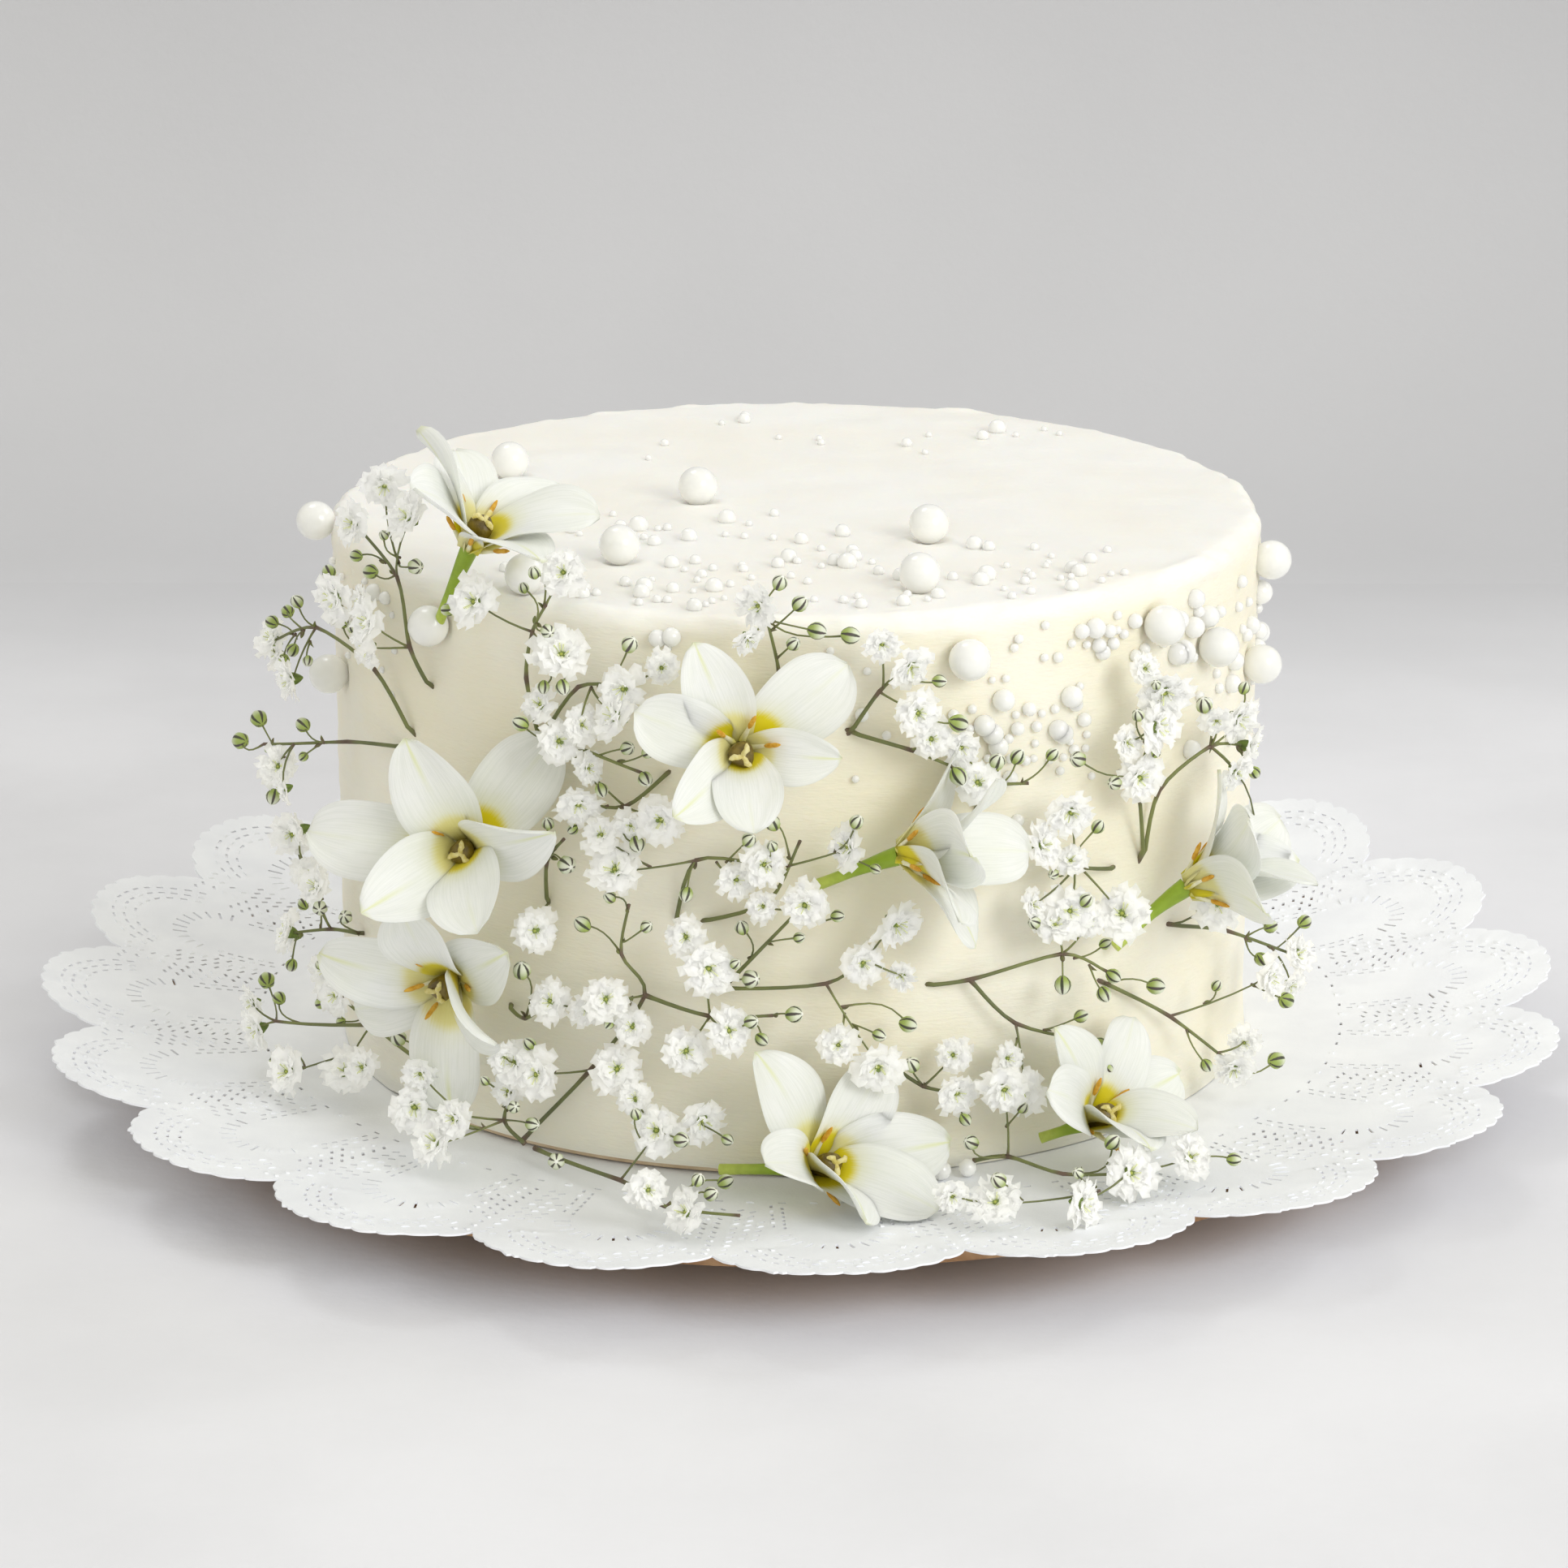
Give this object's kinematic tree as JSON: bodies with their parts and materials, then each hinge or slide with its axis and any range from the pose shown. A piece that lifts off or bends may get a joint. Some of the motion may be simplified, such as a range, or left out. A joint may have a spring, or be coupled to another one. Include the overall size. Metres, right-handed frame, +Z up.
{
  "type": "single-tier wedding cake",
  "caption": "Round iced wedding cake on a paper lace doily and board, dressed with sugar pearls, open white blossoms and sprigs of small double flowers.",
  "frame": {"origin": "middle of the board's underside, on the table", "axes": "+Z up; -Y is the dressed front that the picture shows; +X is to its right"},
  "size_m": [0.3374, 0.3374, 0.1645],
  "materials": {
    "kraft_board": "matte kraft pad",
    "paper": "matte white embossed lace paper",
    "cake_card": "matte card",
    "icing": "satin ivory buttercream with palette knife marks",
    "sugar_pearl": "glossy pearly sugar",
    "tepal": "satin white petals with yellow at the base",
    "sprig": "matte white ruffled flowers on thin green stems"
  },
  "bodies": {
    "root": {"board": "kraft_board", "doily": "paper", "cake_card": "cake_card", "cake": "icing", "pearl_1": "sugar_pearl", "pearl_2": "sugar_pearl", "pearl_3": "sugar_pearl", "pearl_4": "sugar_pearl", "pearl_5": "sugar_pearl", "pearl_6": "sugar_pearl", "pearl_7": "sugar_pearl", "pearl_8": "sugar_pearl", "pearl_9": "sugar_pearl", "pearl_10": "sugar_pearl", "pearl_11": "sugar_pearl", "pearl_12": "sugar_pearl", "pearl_13": "sugar_pearl", "pearl_14": "sugar_pearl", "blossom_rim": "tepal", "blossom_upper_middle": "tepal", "blossom_left": "tepal", "blossom_left_below": "tepal", "blossom_sideways": "tepal", "blossom_right": "tepal", "blossom_foot_middle": "tepal", "blossom_foot_right": "tepal", "sprig_rim_left": "sprig", "sprig_far_left": "sprig", "sprig_left": "sprig", "sprig_upper": "sprig", "sprig_middle_left": "sprig", "sprig_beside_blossom": "sprig", "sprig_thin_left": "sprig", "sprig_centre": "sprig", "sprig_crossing": "sprig", "sprig_rising": "sprig", "sprig_thick_left": "sprig", "sprig_level": "sprig", "sprig_low_middle": "sprig", "sprig_right_middle": "sprig", "sprig_right_long": "sprig", "sprig_right_out": "sprig", "sprig_right_top": "sprig", "sprig_right_centre": "sprig", "sprig_upper_right": "sprig", "sprig_top_front": "sprig", "sprig_behind_right": "sprig", "sprig_lower_left": "sprig", "sprig_left_low": "sprig", "sprig_foot_left": "sprig", "sprig_foot": "sprig", "sprig_foot_right": "sprig"}
  },
  "joints": []
}
